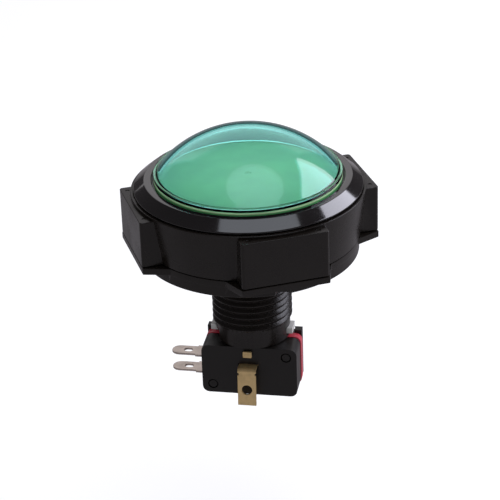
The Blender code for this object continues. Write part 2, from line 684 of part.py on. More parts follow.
def make_contacts(holder):
    """Two flat stampings: upright in the socket, then back and down to a solder tail."""
    half = CONTACT_WIDTH / 2
    step_top = SOCKET_SEAT - SEAT
    step_foot = step_top - CONTACT_WIDTH
    outline = [(-half, 0), (half, 0), (half, step_top), (tail_back(), step_top),
               (tail_back(), -CONTACT_TAIL), (tail_front(), -CONTACT_TAIL), (tail_front(), step_foot),
               (-half, step_foot)]
    middle = (tail_front() + tail_back()) / 2
    hole = arc(CONTACT_HOLE, 0, 2 * math.pi * 15 / 16, 15, (middle, -CONTACT_TAIL + CONTACT_WIDTH))
    for label, low_x, high_x in contact_spans():
        plate("lamp_contact_" + label, [outline, hole], low_x, high_x, BRASS, holder, ALONG_X)


def make_lamp(holder):
    """A wedge-base lamp: plastic base with a post, and the glass over it."""
    half = contact_spans()[1][1] - SEAT
    top = LAMP_BASE_TOP
    base = block("lamp_base", (-half, -LAMP_BASE_HALF_DEPTH, top - LAMP_BASE_LENGTH),
                 (half, LAMP_BASE_HALF_DEPTH, top), WHITE, holder)
    post = rod("lamp_post", (0, 0, top - LAMP_POST), (0, 0, LAMP_POST_TOP), LAMP_POST, parent=holder, segments=16)
    combine(base, post, "UNION")
    foot = top + SEAT
    inner = BULB_RADIUS - BULB_WALL
    outside = dome_arc(BULB_RADIUS, BULB_TOP - BULB_RADIUS, BULB_RADIUS, 5)[::-1]
    inside = dome_arc(inner, BULB_TOP - BULB_RADIUS, inner, 4)
    profile = outside + [(BULB_RADIUS, foot), (inner, foot)] + inside
    turned("lamp_bulb", profile, GLASS, ring=False, segments=24, parent=holder)


def peg_places():
    """Middles of the switch's two mounting holes, in X and Z."""
    half = HOLE_SPACING / 2
    return [(CASE_SHIFT + half, CASE_TOP - HOLE_EDGE), (CASE_SHIFT - half, CASE_BOTTOM + HOLE_EDGE)]


def make_holder_plate(holder):
    """The black plate behind the switch, with a shelf under the socket and two pegs."""
    item = block("switch_holder", (CASE_LEFT, PLATE_FRONT, CASE_BOTTOM + HOLDER_FOOT),
                 (CASE_RIGHT, PLATE_BACK, CASE_TOP + HOLDER_RISE), BLACK_SATIN, holder)
    relief = rod("neck_relief", (0, 0, CASE_TOP), (0, 0, 0), EAR_REACH + SEAT, parent=holder, segments=48)
    combine(item, relief)
    start = math.asin(PLATE_FRONT / THREAD_ROOT)
    shelf = plate("holder_shelf", [arc(THREAD_ROOT, start, math.pi - start, 20)],
                  CASE_TOP - HOLDER_SHELF, CASE_TOP, parent=holder)
    combine(item, shelf, "UNION")
    for number, (x, z) in enumerate(peg_places(), 1):
        peg = rod(f"holder_peg_{number}", (x, PLATE_BACK - SEAT, z), (x, -CASE_FRONT + SEAT / 3, z),
                  PEG_RADIUS, parent=holder, segments=16)
        combine(item, peg, "UNION")
    for label, low_x, high_x in contact_spans():
        slot = block("shelf_slot_" + label,
                     (low_x - SEAT, tail_front() - SEAT, CASE_TOP - HOLDER_SHELF - SEAT),
                     (high_x + SEAT, tail_back() + SEAT, CASE_TOP + SEAT), parent=holder)
        combine(item, slot)
    return item


def make_case(holder):
    """The switch's case, open at the back, with a slot for each terminal."""
    outline = rounded_rectangle(CASE_LEFT, CASE_RIGHT, CASE_BOTTOM, CASE_TOP, CASE_CORNER)
    item = plate("microswitch_case", [outline], -CASE_FRONT, CASE_BACK, BLACK_SATIN, holder, ALONG_Y)
    cavity = block("case_cavity", (CASE_LEFT + CASE_WALL, -CASE_FRONT + CASE_WALL, CASE_BOTTOM + CASE_WALL),
                   (CASE_RIGHT - CASE_WALL, CASE_BACK + CASE_WALL, CASE_TOP - CASE_WALL), parent=holder)
    combine(item, cavity)
    for number, (x, z) in enumerate(peg_places(), 1):
        boss = rod(f"case_boss_{number}", (x, CASE_BACK, z), (x, -CASE_FRONT + CASE_WALL / 2, z),
                   HOLE_RADIUS + BOSS_WALL, parent=holder)
        hole = rod(f"case_hole_{number}", (x, CASE_BACK + SEAT, z), (x, -CASE_FRONT - SEAT, z), HOLE_RADIUS,
                   parent=holder)
        combine(item, boss, "UNION")
        combine(item, hole)
    top_hole = rod("plunger_hole", (PLUNGER_X, PLUNGER_Y, CASE_TOP - 2 * CASE_WALL),
                   (PLUNGER_X, PLUNGER_Y, CASE_TOP + SEAT), PLUNGER_RADIUS + SEAT, parent=holder)
    combine(item, top_hole)
    half_width = TERMINAL_WIDTH / 2 + SEAT
    half_height = TERMINAL_THICKNESS / 2 + SEAT
    for label, level in (("nc", NC_LEVEL), ("no", NO_LEVEL)):
        slot = block("wall_slot_" + label, (CASE_LEFT - SEAT, CONTACT_Y - half_width, level - half_height),
                     (CASE_LEFT + 2 * CASE_WALL, CONTACT_Y + half_width, level + half_height), parent=holder)
        combine(item, slot)
    com_level = CASE_TOP - COM_DROP
    com_slot = block("front_slot", (-COM_WIDTH / 2 - SEAT, -CASE_FRONT - SEAT, com_level - half_height),
                     (COM_WIDTH / 2 + SEAT, -CASE_FRONT + 2 * CASE_WALL, com_level + half_height), parent=holder)
    combine(item, com_slot)
    rivet_level = CASE_TOP - RIVET_DROP
    rivet_hole = rod("rivet_hole", (0, -CASE_FRONT - SEAT, rivet_level), (0, -CASE_FRONT + 2 * CASE_WALL, rivet_level),
                     RIVET_SHANK + SEAT, parent=holder, segments=16)
    combine(item, rivet_hole)
    return item


def make_cover(holder):
    """The red cover on the case's open back."""
    proud = COVER_PROUD
    outline = rounded_rectangle(CASE_LEFT, CASE_RIGHT + proud, CASE_BOTTOM, CASE_TOP + proud / 2, CASE_CORNER)
    holes = [arc(HOLE_RADIUS, 0, 2 * math.pi * 23 / 24, 23, place) for place in peg_places()]
    return plate("microswitch_cover", [outline, *holes], COVER_FRONT, COVER_BACK, RED, holder, ALONG_Y)


def make_plunger(holder):
    """The switch's plunger, with a collar under the case's top wall."""
    collar_top = CASE_TOP - CASE_WALL - SEAT
    radius = PLUNGER_RADIUS
    collar = radius + PLUNGER_COLLAR
    profile = [(0, PLUNGER_TOP), (radius - SEAT, PLUNGER_TOP), (radius, PLUNGER_TOP - SEAT), (radius, collar_top),
               (collar, collar_top), (collar, collar_top - PLUNGER_COLLAR), (radius, collar_top - PLUNGER_COLLAR),
               (radius, PLUNGER_FOOT), (0, PLUNGER_FOOT)]
    item = turned("microswitch_plunger", profile, RED, ring=False, segments=20, parent=holder)
    item.location = (PLUNGER_X, PLUNGER_Y, 0)
    return item


def make_blade(holder):
    """The snap blade, whose origin is its pivot, with the moving contact in its end."""
    half = BLADE_WIDTH / 2
    length = PIVOT_X - BUTTON_X + BUTTON_RADIUS + 3 * SEAT
    outline = [(-length, -half), (0, -half), (0, half), (-length, half)]
    contact_at = (BUTTON_X - PIVOT_X, 0)
    hole = arc(BUTTON_RADIUS + SEAT, 0, 2 * math.pi * 19 / 20, 19, contact_at)
    window = rounded_rectangle(contact_at[0] + half + half, -half, -half / 2, half / 2, half / 4, 2)
    blade = plate("snap_blade", [outline, hole, window], -BLADE_THICKNESS / 2, BLADE_THICKNESS / 2, BRASS, holder)
    blade.location = (PIVOT_X, CONTACT_Y, BLADE_LEVEL)
    contact = rod("moving_contact", (*contact_at, -MOVING_BUTTON / 2), (*contact_at, MOVING_BUTTON / 2),
                  BUTTON_RADIUS, SILVER, holder, 20)
    contact.location = blade.location


def tab_terminal(name, level, holder):
    """One side terminal: inner plate, shoulder and round-ended tab with an oblong hole."""
    half = TERMINAL_WIDTH / 2
    shoulder = SHOULDER_WIDTH / 2
    wall_face = CASE_LEFT - SEAT
    tip = CASE_LEFT - TERMINAL_REACH
    inner = CASE_LEFT + CASE_WALL + TERMINAL_INNER
    round_end = arc(half, math.pi / 2, 3 * math.pi / 2, 10, (tip + half, 0))
    outline = [(inner, half), (wall_face, half), (wall_face, shoulder),
               (wall_face - TERMINAL_SHOULDER, shoulder), (wall_face - TERMINAL_SHOULDER, half)]
    outline += round_end
    outline += [(x, -y) for x, y in reversed(outline[:5])]
    length, width = TERMINAL_HOLE
    centre = CASE_LEFT - TERMINAL_HOLE_AT
    hole = rounded_rectangle(centre - length / 2, centre + length / 2, -width / 2, width / 2, width / 2, 4)
    item = plate(name, [outline, hole], level - TERMINAL_THICKNESS / 2, level + TERMINAL_THICKNESS / 2,
                 SILVER, holder, Matrix.Translation((0, CONTACT_Y, 0)))
    return item


def make_side_terminals(holder):
    """Both side terminals and their contact buttons."""
    tab_terminal("nc_terminal", NC_LEVEL, holder)
    tab_terminal("no_terminal", NO_LEVEL, holder)
    for name, low, high in (("nc_contact", NC_BUTTON_UNDER, NC_BUTTON_UNDER + NC_BUTTON),
                            ("no_contact", NO_BUTTON_TOP - NO_BUTTON, NO_BUTTON_TOP)):
        rod(name, (BUTTON_X, CONTACT_Y, low), (BUTTON_X, CONTACT_Y, high), BUTTON_RADIUS, SILVER, holder, 20)


def strip_outline(path, thickness):
    """The edge of a strip of even thickness that follows a path."""
    sides = ([], [])
    for i, point in enumerate(path):
        before = Vector(path[max(i - 1, 0)])
        after = Vector(path[min(i + 1, len(path) - 1)])
        along = (after - before).normalized()
        offset = Vector((-along.y, along.x)) * thickness / 2
        sides[0].append(tuple(Vector(point) + offset))
        sides[1].append(tuple(Vector(point) - offset))
    return sides[0] + sides[1][::-1]


def make_com_terminal(holder):
    """The bent front terminal, with the bus inside the case that carries the blade's pivot."""
    level = CASE_TOP - COM_DROP
    bus_front = -CASE_FRONT + CASE_WALL + SEAT
    bus_back = bus_front + TERMINAL_THICKNESS
    out = -CASE_FRONT - COM_REACH
    bend = arc(COM_BEND, math.pi / 2, math.pi, 4, (out + COM_BEND, level - COM_BEND))
    kink = level - COM_BEND - COM_NECK
    path = [((bus_front + bus_back) / 2, level)] + bend + [(out, kink), (out - COM_LEAN, kink - COM_TAB)]
    outline = strip_outline(path, TERMINAL_THICKNESS)
    half = COM_WIDTH / 2
    item = plate("com_terminal", [outline], -half, half, BRASS, holder, ALONG_X)
    foot = BLADE_LEVEL - BLADE_WIDTH / 2
    bus_top = CASE_TOP - CASE_WALL - SEAT
    arm_top = peg_places()[0][1] - HOLE_RADIUS - BOSS_WALL - 2 * SEAT
    arm_end = PIVOT_X + SEAT
    bus_outline = [(-half, foot), (arm_end, foot), (arm_end, arm_top), (half, arm_top), (half, bus_top),
                   (-half, bus_top)]
    bus = plate("com_bus", [bus_outline], bus_front, bus_back, parent=holder, plane=ALONG_Y)
    pivot_top = BLADE_LEVEL - BLADE_THICKNESS / 2 - SEAT
    pivot = block("com_pivot", (PIVOT_X - 2 * SEAT, bus_back - SEAT, foot),
                  (arm_end, CONTACT_Y + BLADE_WIDTH / 2, pivot_top), parent=holder)
    combine(item, bus, "UNION")
    combine(item, pivot, "UNION")
    hole_level = kink - COM_TAB + COM_HOLE_UP
    hole = rod("com_hole", (0, out - COM_REACH, hole_level), (0, out + COM_REACH / 2, hole_level), COM_HOLE,
               parent=holder)
    combine(item, hole)
    for number, side in enumerate((half, -half), 1):
        notch = rod(f"com_notch_{number}", (side, out - COM_REACH, kink), (side, out + COM_REACH / 2, kink),
                    COM_NOTCH, parent=holder, segments=12)
        combine(item, notch)
    return item


def make_rivet(holder):
    """The rivet through the case's front wall, over the front terminal."""
    level = CASE_TOP - RIVET_DROP
    head_back = -CASE_FRONT - SEAT
    half_width, half_height = RIVET_WIDTH / 2, RIVET_HEIGHT / 2
    outline = rounded_rectangle(-half_width, half_width, level - half_height, level + half_height, SEAT, 2)
    item = plate("com_rivet", [outline], head_back - RIVET_HEAD, head_back, BRASS, holder, ALONG_Y)
    shank = rod("rivet_shank", (0, head_back - RIVET_HEAD / 2, level), (0, -CASE_FRONT + CASE_WALL, level),
                RIVET_SHANK, parent=holder, segments=12)
    combine(item, shank, "UNION")
    return item


def shade(item):
    """Smooth shading with sharp corners kept."""
    item.data.shade_smooth()
    item.data.set_sharp_from_angle(angle=math.radians(30))


def build():
    """Make every piece."""
    button = axis_empty("button_axis")
    holder = axis_empty("holder_axis", HOLDER_TURN)
    make_lens(button)
    make_diffuser(button)
    make_slider(button)
    make_bezel()
    make_housing()
    make_base(holder)
    make_screws()
    make_spring()
    make_socket(holder)
    make_contacts(holder)
    make_lamp(holder)
    make_holder_plate(holder)
    make_case(holder)
    make_cover(holder)
    make_plunger(holder)
    make_blade(holder)
    make_side_terminals(holder)
    make_com_terminal(holder)
    make_rivet(holder)
    for item in PARTS.objects:
        if item.type == "MESH" and item.data.polygons:
            shade(item)


build()
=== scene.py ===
# %% [markdown]
# An illuminated dome button for a quiz table. A clear turquoise dome covers a green diffuser. Both
# move inside a glossy ring on a black drum with four lugs. A threaded neck below goes through the
# table, and a lamp holder with a snap-action switch hangs from its end.

import json
import math

import bmesh
import bpy
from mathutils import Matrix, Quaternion, Vector

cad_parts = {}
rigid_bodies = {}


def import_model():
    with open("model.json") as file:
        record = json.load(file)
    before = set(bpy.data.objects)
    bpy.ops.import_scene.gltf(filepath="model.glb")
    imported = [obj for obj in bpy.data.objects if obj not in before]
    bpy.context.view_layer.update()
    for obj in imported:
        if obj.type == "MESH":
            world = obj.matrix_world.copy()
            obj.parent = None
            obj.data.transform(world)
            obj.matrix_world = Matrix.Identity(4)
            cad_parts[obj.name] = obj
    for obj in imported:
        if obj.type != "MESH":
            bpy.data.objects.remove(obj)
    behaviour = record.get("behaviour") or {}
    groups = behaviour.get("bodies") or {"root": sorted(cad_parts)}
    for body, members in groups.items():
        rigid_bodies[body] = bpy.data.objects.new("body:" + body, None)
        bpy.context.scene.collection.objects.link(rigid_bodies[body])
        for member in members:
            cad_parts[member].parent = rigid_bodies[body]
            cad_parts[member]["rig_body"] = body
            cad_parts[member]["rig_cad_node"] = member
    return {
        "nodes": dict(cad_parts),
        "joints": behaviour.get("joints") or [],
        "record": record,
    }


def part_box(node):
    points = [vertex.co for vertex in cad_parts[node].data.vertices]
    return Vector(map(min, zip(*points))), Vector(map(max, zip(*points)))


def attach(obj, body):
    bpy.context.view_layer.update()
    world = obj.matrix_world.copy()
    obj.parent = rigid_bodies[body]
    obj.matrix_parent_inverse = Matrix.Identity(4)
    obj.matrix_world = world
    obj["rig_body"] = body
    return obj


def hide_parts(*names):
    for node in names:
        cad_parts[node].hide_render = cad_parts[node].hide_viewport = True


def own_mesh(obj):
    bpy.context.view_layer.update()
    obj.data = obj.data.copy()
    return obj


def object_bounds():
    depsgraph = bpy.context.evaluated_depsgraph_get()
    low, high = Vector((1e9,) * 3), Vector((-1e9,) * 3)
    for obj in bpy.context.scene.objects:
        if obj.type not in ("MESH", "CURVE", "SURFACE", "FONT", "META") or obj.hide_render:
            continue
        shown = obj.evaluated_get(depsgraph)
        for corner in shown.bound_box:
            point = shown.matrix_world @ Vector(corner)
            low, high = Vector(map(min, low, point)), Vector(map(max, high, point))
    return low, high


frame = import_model()
CAD_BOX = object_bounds()
print("CAD box", CAD_BOX)

# %% [markdown]
# All sizes are in metres. Widths and heights of whole pieces come from the frame. The values here
# are the small sizes inside a piece: radii of edges, wall thicknesses and the pitch of the thread.

# %% Sizes
MM = 0.001
STEPS = 128
FINE = 0.000001

FACE_WIDTH = 2.0 * MM
CONE_WIDTH = 3.2 * MM
CONE_HEIGHT = 2.62 * MM
BEZEL_EDGE = 0.45 * MM
SKIRT_IN = 1.7 * MM
SKIRT_WALL = 1.4 * MM
EDGE = 0.22 * MM

LENS_WALL = 2.0 * MM
RIM_HEIGHT = 1.15 * MM
SHOULDER = 0.7 * MM

PITCH = 2.0 * MM
THREAD_DEPTH = 0.7 * MM
THREAD_LENGTH = 22.9 * MM
blade_hinge = next(joint for joint in frame["record"]["behaviour"]["joints"]
                   if joint["name"] == "blade_swing")
HOLDER_TURN = math.atan2(blade_hinge["axis"][0], -blade_hinge["axis"][1])
TWIST = math.radians(20)

# %% [markdown]
# Three small helpers come up again and again. One makes an object the only selected one, one adds a
# modifier and applies it, and one gives a finished mesh its shading.

# %% Helpers
def only(item):
    """Deselect everything, then select one object and make it active."""
    bpy.ops.object.select_all(action="DESELECT")
    item.select_set(True)
    bpy.context.view_layer.objects.active = item


def modify(item, kind, **settings):
    """Add a modifier with these settings and apply it."""
    only(item)
    modifier = item.modifiers.new(kind.lower(), kind)
    for key, value in settings.items():
        setattr(modifier, key, value)
    bpy.ops.object.modifier_apply(modifier=modifier.name)


def soften(item, width=EDGE, segments=3, angle=30, smooth=35):
    """Round the sharp edges and shade the rest smooth."""
    if width:
        modify(item, "BEVEL", width=width, segments=segments, limit_method="ANGLE",
               angle_limit=math.radians(angle), miter_outer="MITER_ARC")
    only(item)
    bpy.ops.object.shade_smooth_by_angle(angle=math.radians(smooth))
    modify(item, "WEIGHTED_NORMAL", keep_sharp=True)


def boolean(item, tool, operation="DIFFERENCE"):
    """Cut a tool out of a piece, or join it on, and throw the tool away."""
    modify(item, "BOOLEAN", operation=operation, solver="EXACT", object=tool)
    bpy.data.objects.remove(tool, do_unlink=True)


def tidy_mesh(item, apart=FINE):
    """Merge points closer than a distance and turn all faces outward."""
    only(item)
    bpy.ops.object.mode_set(mode="EDIT")
    bpy.ops.mesh.select_all(action="SELECT")
    bpy.ops.mesh.remove_doubles(threshold=apart)
    bpy.ops.mesh.normals_make_consistent(inside=False)
    bpy.ops.object.mode_set(mode="OBJECT")


def draw(name, points, closed=True):
    """Leave one corner of a plane and extrude it from point to point. Stays in edit mode."""
    bpy.ops.mesh.primitive_plane_add(size=MM)
    item = bpy.context.object
    item.name = item.data.name = name
    bpy.ops.object.mode_set(mode="EDIT")
    bpy.ops.mesh.select_mode(type="VERT")
    bpy.ops.mesh.select_all(action="SELECT")
    bpy.ops.mesh.merge(type="CENTER")
    points = [Vector(point) for point in points]
    bpy.ops.transform.translate(value=points[0])
    for here, there in zip(points, points[1:]):
        bpy.ops.mesh.extrude_vertices_move(TRANSFORM_OT_translate={"value": there - here})
    if closed:
        shape = bmesh.from_edit_mesh(item.data)
        for point in shape.verts:
            point.select_set(len(point.link_edges) == 1)
        bmesh.update_edit_mesh(item.data)
        bpy.ops.mesh.edge_face_add()
    bpy.ops.mesh.select_all(action="SELECT")
    return item


def upright(profile):
    """Points of (radius, height) set up in the XZ plane."""
    return [(radius, 0, height) for radius, height in profile]


def turned(name, profile, steps=STEPS, start=0.0, sweep=2 * math.pi):
    """Draw a profile of (radius, height) points and spin it about Z, clockwise seen from above."""
    item = draw(name, upright(profile), closed=profile[0][0] > 0 or profile[-1][0] > 0)
    bpy.ops.mesh.spin(steps=steps, angle=sweep, center=(0, 0, 0), axis=(0, 0, 1))
    bpy.ops.mesh.select_all(action="SELECT")
    bpy.ops.mesh.remove_doubles(threshold=FINE)
    if sweep < 2 * math.pi:
        bpy.ops.mesh.fill_holes(sides=0)
    bpy.ops.mesh.normals_make_consistent(inside=False)
    bpy.ops.object.mode_set(mode="OBJECT")
    if start:
        place(item, turn=start)
    return item


def slab(name, outline, low, high):
    """Fill an outline of (x, y) points and raise it from one height to another."""
    item = draw(name, [(x, y, low) for x, y in outline])
    bpy.ops.mesh.edge_face_add()
    bpy.ops.mesh.select_all(action="SELECT")
    bpy.ops.mesh.extrude_region_move(TRANSFORM_OT_translate={"value": (0, 0, high - low)})
    bpy.ops.mesh.select_all(action="SELECT")
    bpy.ops.mesh.normals_make_consistent(inside=False)
    bpy.ops.object.mode_set(mode="OBJECT")
    return item


def place(item, turn=0.0, shift=(0, 0, 0)):
    """Turn and move an object, then put the place in its mesh."""
    only(item)
    item.rotation_euler = (0, 0, turn)
    item.location = shift
    bpy.ops.object.transform_apply(location=True, rotation=True, scale=True)


def box(name, low, high):
    """A box between two corners, made from a cube."""
    low, high = Vector(low), Vector(high)
    bpy.ops.mesh.primitive_cube_add(size=1, location=(low + high) / 2, scale=high - low)
    item = bpy.context.object
    item.name = item.data.name = name
    place_in_mesh(item)
    return item


def place_in_mesh(item):
    """Apply an object's own place, turn and scale."""
    only(item)
    bpy.ops.object.transform_apply(location=True, rotation=True, scale=True)


def select_edges(item, test):
    """In edit mode, select the edges whose two ends both pass a test."""
    only(item)
    bpy.ops.object.mode_set(mode="EDIT")
    bpy.ops.mesh.select_mode(type="EDGE")
    bpy.ops.mesh.select_all(action="DESELECT")
    shape = bmesh.from_edit_mesh(item.data)
    for edge in shape.edges:
        edge.select_set(test(edge.verts[0].co, edge.verts[1].co))
    bmesh.update_edit_mesh(item.data)


def twin(item, name):
    """A copy of an object with a mesh of its own."""
    only(item)
    bpy.ops.object.duplicate()
    copy = bpy.context.object
    copy.name = copy.data.name = name
    return copy


def arc(centre_z, radius, from_angle, to_angle, count):
    """Profile points on an arc about a centre on the axis; angles are measured from the top."""
    angles = [from_angle + (to_angle - from_angle) * i / count for i in range(count + 1)]
    return [(radius * math.sin(a), centre_z + radius * math.cos(a)) for a in angles]


# %% [markdown]
# Materials are node graphs. The small class below wraps a socket, so that sums of sockets can be
# written as plain sums. The graph class adds any other node in one call.

# %% Shader helpers
class Wire:
    """A shader value that can be added, subtracted, multiplied and divided."""

    def __init__(self, graph, socket):
        self.graph = graph
        self.socket = socket

    def _join(self, operation, first, second):
        return self.graph.node("ShaderNodeMath", {"operation": operation}, {0: first, 1: second})

    def __add__(self, other):
        return self._join("ADD", self, other)

    def __radd__(self, other):
        return self._join("ADD", other, self)

    def __sub__(self, other):
        return self._join("SUBTRACT", self, other)

    def __rsub__(self, other):
        return self._join("SUBTRACT", other, self)

    def __mul__(self, other):
        return self._join("MULTIPLY", self, other)

    def __rmul__(self, other):
        return self._join("MULTIPLY", other, self)

    def __truediv__(self, other):
        return self._join("DIVIDE", self, other)

    def __rtruediv__(self, other):
        return self._join("DIVIDE", other, self)


class Graph:
    """A new material with its node tree and its Principled shader."""

    def __init__(self, name, **constants):
        self.material = bpy.data.materials.new(name)
        self.material.use_nodes = True
        self.tree = self.material.node_tree
        self.shader = self.tree.nodes["Principled BSDF"]
        for key, value in constants.items():
            self.set(key.replace("_", " ").title().replace("Ior", "IOR"), value)

    def put(self, socket, value):
        """Link a wire to a socket, or write a constant in it."""
        if isinstance(value, Wire):
            self.tree.links.new(value.socket, socket)
        elif isinstance(value, tuple) and len(value) == 3 and socket.type == "RGBA":
            socket.default_value = (*value, 1.0)
        else:
            socket.default_value = value

    def set(self, key, value):
        """Feed one input of the Principled shader."""
        self.put(self.shader.inputs[key], value)

    def node(self, kind, settings=None, inputs=None, output=0):
        """Any other node: its type, its settings, then its socket values or links."""
        made = self.tree.nodes.new(kind)
        for key, value in (settings or {}).items():
            setattr(made, key, value)
        for key, value in (inputs or {}).items():
            self.put(made.inputs[key], value)
        return Wire(self, made.outputs[output])

    def place(self):
        """The point on the object, in metres."""
        return self.node("ShaderNodeTexCoord", output="Object")

    def noise(self, size, detail=2.0, roughness=0.5, stretch=(1, 1, 1)):
        """Noise with spots of about one size in metres, from 0 to 1."""
        spot = self.node("ShaderNodeMapping", None, {"Vector": self.place(), "Scale": stretch})
        return self.node("ShaderNodeTexNoise", None,
                         {"Vector": spot, "Scale": 1 / size, "Detail": detail, "Roughness": roughness})

    def spread(self, wire, low, high, start=0.35, end=0.65):
        """Map a stretch of a value on to another range."""
        return self.node("ShaderNodeMapRange", {"clamp": True},
                         {"Value": wire, "From Min": start, "From Max": end, "To Min": low, "To Max": high})

    def blend(self, factor, first, second):
        """A colour between two others."""
        return self.node("ShaderNodeMix", {"data_type": "RGBA"}, {0: factor, 6: first, 7: second}, output=2)

    def bump(self, height, distance, strength=1.0):
        """Feed a height in to the shader's normal."""
        normal = self.node("ShaderNodeBump", None,
                           {"Height": height, "Distance": distance, "Strength": strength})
        self.set("Normal", normal)


# %% [markdown]
# The finishes. Moulded plastic is never quite even: a polished piece has a very soft waviness, and a
# satin one a fine grain. Metal shows the marks of rolling and stamping.

# %% Materials
def moulded(name, colour, roughness, grain=0.02 * MM, **constants):
    """Plastic from a mould: fine grain, soft waviness, a little unevenness in its gloss."""
    graph = Graph(name, **constants)
    broad = graph.noise(9 * MM, detail=3)
    fine = graph.noise(0.35 * MM, detail=3, roughness=0.6)
    darker = tuple(c * 0.82 for c in colour)
    graph.set("Base Color", graph.blend(graph.spread(broad, 0, 1), darker, colour))
    graph.set("Roughness", graph.spread(broad, roughness * 0.85, roughness * 1.15) + fine * 0.04 - 0.02)
    graph.bump(broad * 2 + fine * 0.5, grain)
    return graph.material


def rolled_metal(name, colour, roughness, metallic=1.0, along=(1, 8, 8)):
    """Sheet metal: stretched rolling marks and faint stains."""
    graph = Graph(name, metallic=metallic)
    marks = graph.noise(1.2 * MM, detail=4, roughness=0.7, stretch=along)
    stain = graph.noise(3.5 * MM, detail=3)
    dull = tuple(c * 0.72 for c in colour)
    graph.set("Base Color", graph.blend(graph.spread(stain, 0, 1, 0.45, 0.75), colour, dull))
    graph.set("Roughness", graph.spread(marks, roughness * 0.8, roughness * 1.3) + stain * 0.08)
    graph.bump(marks, 0.01 * MM)
    return graph.material


def clear_dome():
    """Clear plastic, polished inside and out, that turns light turquoise on its way through."""
    graph = Graph("dome_turquoise", transmission_weight=1.0, ior=1.49)
    haze = graph.noise(14 * MM, detail=2)
    graph.set("Base Color", graph.blend(graph.spread(haze, 0, 1), (0.90, 0.98, 0.97), (0.92, 0.99, 0.98)))
    graph.set("Roughness", graph.spread(haze, 0.01, 0.03))
    graph.bump(haze, 0.02 * MM)
    tint = graph.node("ShaderNodeVolumeAbsorption", None, {"Color": (0.12, 0.80, 0.77), "Density": 290.0})
    graph.tree.links.new(tint.socket, graph.tree.nodes["Material Output"].inputs["Volume"])
    return graph.material


def diffuser_green_shaded_side():
    """Milky green plastic. Its side is painted a deeper green as painted shade, where the lens rim shadows
    it.
    """
    # The edge colour is painted shade for the disc's side, which lies in the shadow of the lens rim.
    face, edge = (0.50, 0.70, 0.38), (0.10, 0.42, 0.14)
    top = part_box("diffuser_plate")[1].z
    graph = Graph("diffuser_green_shaded_side")
    broad = graph.noise(9 * MM, detail=3)
    fine = graph.noise(0.35 * MM, detail=3, roughness=0.6)
    height = graph.node("ShaderNodeSeparateXYZ", None, {0: graph.place()}, output=2)
    colour = graph.blend(graph.spread(broad, 0, 1), tuple(c * 0.86 for c in face), face)
    # Below the top face the colour turns to the painted shade of the edge colour.
    face_above_painted_shade = graph.spread(height, 0, 1, top - 0.4 * MM, top - 0.15 * MM)
    graph.set("Base Color", graph.blend(face_above_painted_shade, edge, colour))
    graph.set("Roughness", graph.spread(broad, 0.33, 0.43))
    graph.bump(broad * 2 + fine * 0.5, 0.012 * MM)
    return graph.material


def lamp_glass():
    """Thin clear glass."""
    graph = Graph("bulb_glass", transmission_weight=1.0, ior=1.45, base_color=(0.95, 0.97, 0.96))
    graph.set("Roughness", graph.spread(graph.noise(4 * MM), 0.0, 0.03))
    return graph.material


DOME = clear_dome()
GREEN = diffuser_green_shaded_side()
GLOSS = moulded("bezel_black", (0.008, 0.007, 0.007), 0.10, grain=0.004 * MM, specular_ior_level=0.9,
                coat_weight=0.6, coat_roughness=0.06)
BLACK = moulded("housing_black", (0.011, 0.0085, 0.0068), 0.28, grain=0.006 * MM,
                specular_ior_level=0.4)
SWITCH = moulded("switch_black", (0.011, 0.009, 0.0075), 0.36, specular_ior_level=0.4)
RED = moulded("switch_red", (0.68, 0.055, 0.090), 0.32)
WHITE = moulded("white_plastic", (0.74, 0.73, 0.70), 0.40)
BRASS = rolled_metal("brass", (0.90, 0.66, 0.32), 0.38, metallic=0.75)
SILVER = rolled_metal("silver_plate", (0.84, 0.74, 0.66), 0.30)
STEEL = rolled_metal("screw_steel", (0.52, 0.52, 0.52), 0.30)
SPRING = rolled_metal("spring_steel", (0.56, 0.56, 0.57), 0.28)
GLASS = lamp_glass()

FINISHES = {"dome_lens": DOME, "diffuser": GREEN, "white_plastic": WHITE, "spring_steel": SPRING,
            "bezel_gloss": GLOSS, "housing_black": BLACK, "screw_steel": STEEL, "lamp_glass": GLASS,
            "brass": BRASS, "switch_black": SWITCH, "switch_red": RED, "silver_plate": SILVER}
SLOT_OF = {part["node"]: part["material_slot"] for part in frame["record"]["subparts"]}
BODY_OF = {node: body for body, nodes in frame["record"]["behaviour"]["bodies"].items() for node in nodes}


def fit(piece, node):
    """Let a finished piece stand for a CAD node: its body, its slot and its material."""
    piece.data.materials.clear()
    piece.data.materials.append(FINISHES[SLOT_OF[node]])
    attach(piece, BODY_OF[node])
    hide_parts(node)
    print(piece.name, len(piece.data.polygons), "faces")


for name, node in frame["nodes"].items():
    node.data.materials.clear()
    node.data.materials.append(FINISHES[SLOT_OF[name]])

# %% [markdown]
# The bezel is one turned moulding. On the real button it screws or snaps in from above and keeps the
# dome from lifting out. Its flat face, its cone and its thin edge are all drawn in the profile.

# %% Bezel
low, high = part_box("bezel_ring")
bezel_radius, bezel_top, skirt_foot = high.x, high.z, low.z
bore = bezel_radius - CONE_WIDTH - FACE_WIDTH
edge_top = bezel_top - CONE_HEIGHT
under = edge_top - BEZEL_EDGE
skirt_inner = bore + SKIRT_IN
bezel = turned("bezel", [
    (bore, bezel_top), (bore + FACE_WIDTH, bezel_top), (bezel_radius, edge_top), (bezel_radius, under),
    (skirt_inner + SKIRT_WALL, under), (skirt_inner + SKIRT_WALL, skirt_foot), (skirt_inner, skirt_foot),
    (skirt_inner, under), (bore, under)], steps=160)
soften(bezel, 0.18 * MM, angle=25)
fit(bezel, "bezel_ring")

# %% [markdown]
# The lens is a cap cut from a thick hollow ball, with a thin rim that the light runs into. Two arcs
# give the outside and the inside, so that the dome bends light as the real one does.

